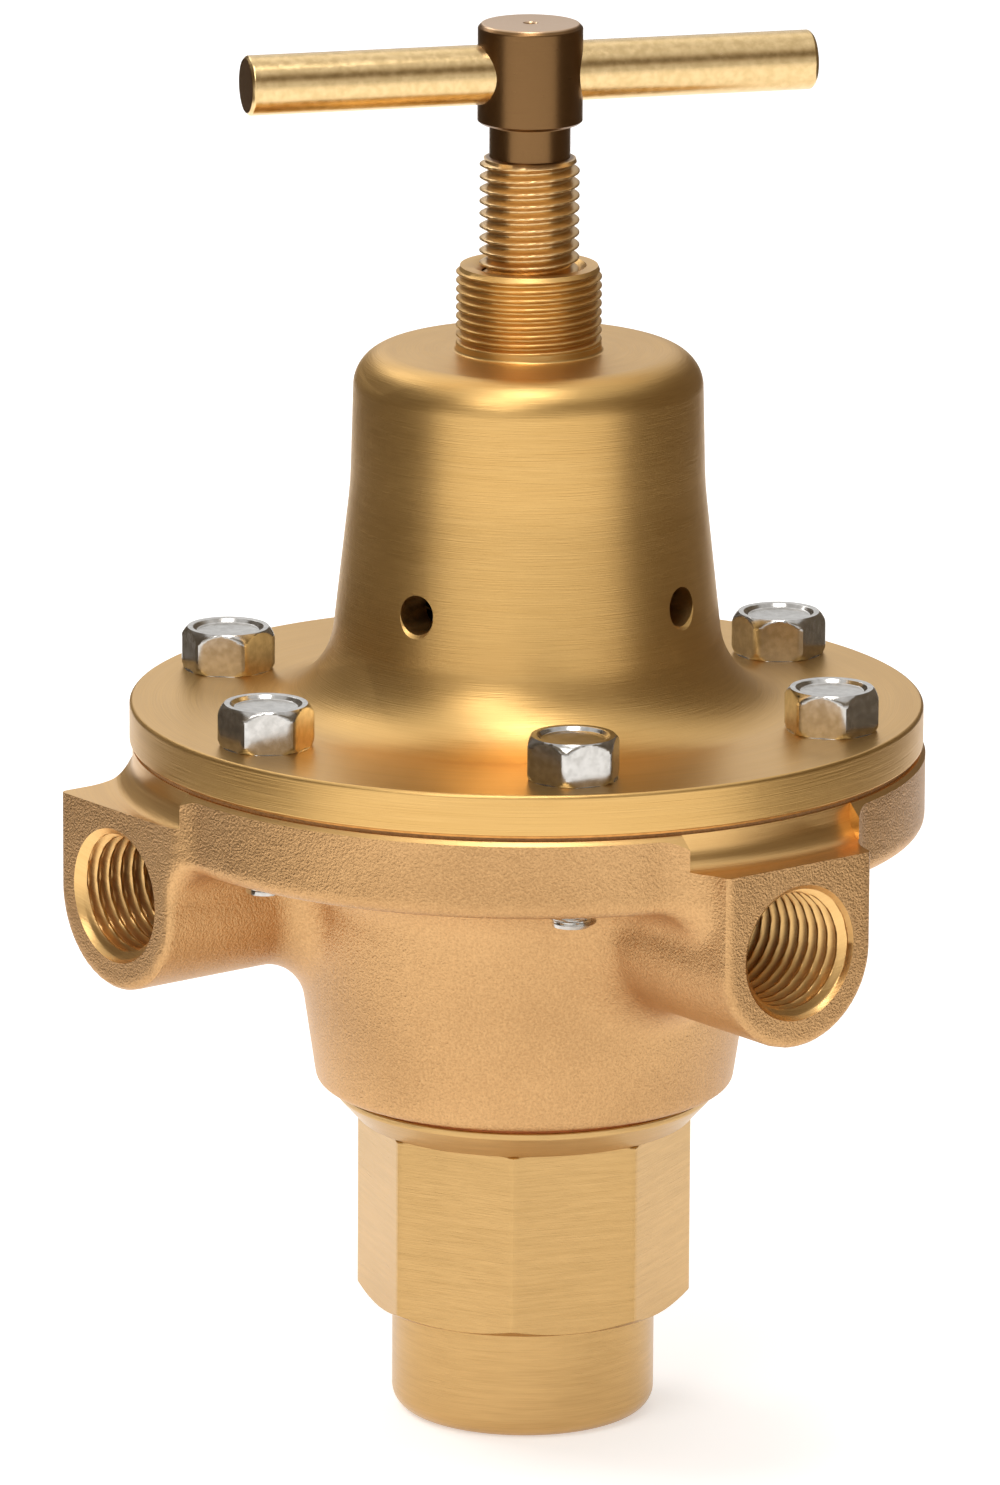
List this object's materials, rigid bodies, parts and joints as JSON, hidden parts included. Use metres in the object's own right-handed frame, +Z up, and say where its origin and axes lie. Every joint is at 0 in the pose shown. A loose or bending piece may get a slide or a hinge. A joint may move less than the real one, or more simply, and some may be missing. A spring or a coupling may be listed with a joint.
{
  "type": "pressure reducing valve",
  "caption": "Brass diaphragm pressure reducing valve with a bell-shaped bonnet, tee-handled adjusting screw, hex flange screws, tapped ports at right angles and an octagonal bottom cap.",
  "frame": {"origin": "centre of the bottom cap's flat end", "axes": "+Z up along the valve axis to the tee handle, +X out of the inlet port, -Y out of the outlet port"},
  "size_m": [0.0839, 0.0812, 0.1432],
  "materials": {
    "cast_brass": "grit-blasted casting",
    "turned_brass": "fine turned",
    "spindle_brass": "turned, handled",
    "bar_brass": "drawn, polished",
    "inner_brass": "turned",
    "screw_steel": "plated, bright",
    "spring_steel": "drawn wire",
    "plain_steel": "turned",
    "bronze_sheet": "rolled sheet",
    "copper_ring": "soft, annealed",
    "seat_plastic": "moulded",
    "fibre": "sheet gasket"
  },
  "bodies": {
    "housing": {"body": "cast_brass", "bottom_cap": "turned_brass", "cap_seal": "copper_ring", "poppet_guide": "inner_brass", "poppet_spring": "spring_steel", "seat_nozzle": "inner_brass", "nozzle_gasket": "copper_ring", "diaphragm_gasket": "fibre", "diaphragm": "bronze_sheet", "range_spring": "spring_steel", "bonnet": "turned_brass", "flange_screws": "screw_steel"},
    "spring_seat": {"spring_button": "plain_steel"},
    "handle": {"adjusting_screw": "spindle_brass", "tee_bar": "bar_brass"},
    "diaphragm_stack": {"diaphragm_washer": "plain_steel", "pusher": "inner_brass", "diaphragm_plate": "plain_steel", "diaphragm_nut": "plain_steel"},
    "valve": {"poppet": "inner_brass", "seat_disc": "seat_plastic", "disc_retainer": "plain_steel"}
  },
  "joints": [
    {"name": "button_slide", "type": "slide", "parent": "housing", "child": "spring_seat", "axis": [0, 0, 1], "range_m": [-0.009, 0.003], "deforming": ["range_spring"]},
    {"name": "handle_turn", "type": "hinge", "parent": "spring_seat", "child": "handle", "pos_m": [0, 0, 0.1382], "axis": [0, 0, 1], "range_deg": [-2593, 865]},
    {"name": "diaphragm_stroke", "type": "slide", "parent": "housing", "child": "diaphragm_stack", "axis": [0, 0, 1], "range_m": [-0.0015, 0], "stiffness_N_per_m": 2000, "springref_m": 0.001, "deforming": ["diaphragm"]},
    {"name": "poppet_lift", "type": "slide", "parent": "housing", "child": "valve", "axis": [0, 0, 1], "range_m": [-0.0015, 0], "stiffness_N_per_m": 1500, "springref_m": 0.004, "deforming": ["poppet_spring"]}
  ],
  "couplings": [
    {"joint": "handle_turn", "follows": "button_slide", "rad_per_m": 5026.5},
    {"joint": "poppet_lift", "follows": "diaphragm_stroke", "ratio": 1}
  ]
}
